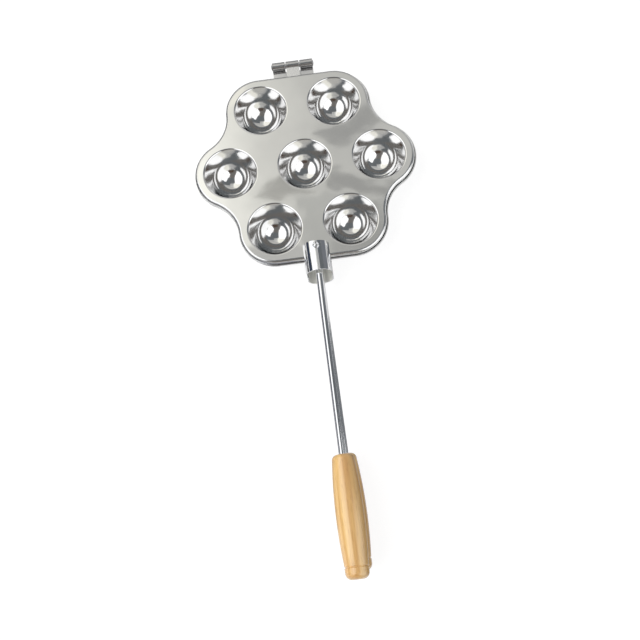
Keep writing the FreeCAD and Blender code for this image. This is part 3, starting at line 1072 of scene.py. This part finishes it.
ceiling()
# Painted reflections: darker zones on the flat sheet, each given by its corners on the pan in mm
painted_reflection_patch("painted_reflection_right", [(5, 24), (13, 30), (26, 32), (39, 31), (46, 37), (60, 47), (72, 37), (58, 23), (45, 19),
                    (30, 10), (16, 16)], (0.40, 0.40, 0.39))
painted_reflection_patch("painted_reflection_near_right", [(18, -12), (31, -12), (41, -18), (52, -25), (76, -28), (70, -42), (45, -34), (30, -28),
                         (18, -24)], (0.37, 0.37, 0.36))
painted_reflection_patch("painted_reflection_left", [(-47, -26), (-36, -19), (-20, -11), (-8, -20), (8, -25), (-7, -27), (-22, -27)], (0.44, 0.435, 0.41))
painted_reflection_patch("painted_reflection_near", [(-10, -30), (20, -30), (52, -42), (72, -40), (70, -100), (-10, -100)], (0.52, 0.52, 0.50))
painted_reflection_patch("painted_reflection_corner", [(42, -42), (72, -40), (70, -100), (14, -100), (14, -72)], (0.39, 0.39, 0.38))
painted_reflection_patch("painted_reflection_edge", [(-10, -72), (-52, -66), (-70, -72), (-70, -110), (-10, -110)], (0.56, 0.555, 0.54))


def grip_shade():
    """Dark strips on the floor to the right of the grips and the rods, which only they mirror."""
    low = solid_box[0].z + 0.001
    for name, left, near, far, tone in (
        ("grip_shade", 0.030, -0.36, -0.238, (0.22, 0.17, 0.12)),
        ("rod_shade", 0.014, -0.237, -0.125, (0.15, 0.16, 0.17)),
    ):
        corners = ((left, near), (0.26, near), (0.26, far), (left, far))
        reflected_panel(name, [Vector((x, y, low)) for x, y in corners], emission(name, tone, 1.0))


grip_shade()


def painted_shadow_strip(name, first, last, tone):
    """Painted shadow: a dark strip on the floor beside the pan, standing for the floor's shade there, which only the
    rims mirror.
    """
    inner, outer = 0.100, 0.30
    ways = [math.radians(first + (last - first) * k / 12) for k in range(13)]
    low = solid_box[0].z + 0.001
    rows = [[Vector((reach * math.cos(a), reach * math.sin(a), low)) for a in ways] for reach in (inner, outer)]
    reflected_panel(name, rows[0] + rows[1][::-1], emission(name, tone, 1.0))


# Painted shadow beside the pan, seen only in the mirrored rims and socket: dark at the hinge and left, grey near left
painted_shadow_strip("painted_shadow_strip", 62, 235, (0.06, 0.06, 0.065))
painted_shadow_strip("painted_shade_grey_strip", 235, 264, (0.26, 0.26, 0.30))


def shell():
    """The grey room behind the panels, darker towards the horizon, for reflections only."""
    around, rise, reach = 48, 16, 3.0
    mesh = bpy.data.meshes.new("shell")
    points, faces = [], []
    for i in range(rise + 1):
        lift = math.pi / 2 * i / rise
        for k in range(around):
            angle = 2 * math.pi * k / around
            points.append((reach * math.cos(lift) * math.cos(angle), reach * math.cos(lift) * math.sin(angle),
                           reach * math.sin(lift)))
    for i in range(rise):
        for k in range(around):
            after = (k + 1) % around
            faces.append((i * around + k, i * around + after, (i + 1) * around + after, (i + 1) * around + k))
    mesh.from_pydata(points, [], faces)
    made = bpy.data.materials.new("shell")
    made.use_nodes = True
    tree = made.node_tree
    tree.nodes.clear()
    coordinates = tree.nodes.new("ShaderNodeTexCoord")
    split = tree.nodes.new("ShaderNodeSeparateXYZ")
    tree.links.new(coordinates.outputs["Object"], split.inputs["Vector"])
    low = two_tones(tree, spread(tree, split.outputs["Y"], 0, 1, -reach, reach), (0.42, 0.42, 0.42),
                    (0.12, 0.13, 0.15), 0.30, 0.75)
    high = tree.nodes.new("ShaderNodeMix")
    high.data_type = "RGBA"
    high.inputs["B"].default_value = (0.46, 0.46, 0.45, 1)
    tree.links.new(low, high.inputs["A"])
    tree.links.new(spread(tree, split.outputs["Z"], 0, 1, 0.08 * reach, 0.40 * reach), high.inputs["Factor"])
    tone = high.outputs["Result"]
    light = tree.nodes.new("ShaderNodeEmission")
    tree.links.new(tone, light.inputs["Color"])
    out = tree.nodes.new("ShaderNodeOutputMaterial")
    tree.links.new(light.outputs["Emission"], out.inputs["Surface"])
    mesh.materials.append(made)
    room = bpy.data.objects.new("shell", mesh)
    bpy.context.scene.collection.objects.link(room)
    room.visible_camera = False
    room.visible_shadow = False
    room.visible_diffuse = False


shell()


def world():
    """Soft light from all sides, and plain white where it is seen or mirrored."""
    made = bpy.data.worlds.new("studio")
    bpy.context.scene.world = made
    made.use_nodes = True
    tree = made.node_tree
    tree.nodes.clear()
    soft = tree.nodes.new("ShaderNodeBackground")
    soft.inputs["Color"].default_value = (0.44, 0.44, 0.45, 1)
    white = tree.nodes.new("ShaderNodeBackground")
    white.inputs["Color"].default_value = (1, 1, 1, 1)
    mix = tree.nodes.new("ShaderNodeMixShader")
    tree.links.new(seen_or_mirrored(tree), mix.inputs["Fac"])
    tree.links.new(soft.outputs["Background"], mix.inputs[1])
    tree.links.new(white.outputs["Background"], mix.inputs[2])
    out = tree.nodes.new("ShaderNodeOutputWorld")
    tree.links.new(mix.outputs["Shader"], out.inputs["Surface"])


world()
bpy.context.scene.view_settings.view_transform = "Standard"
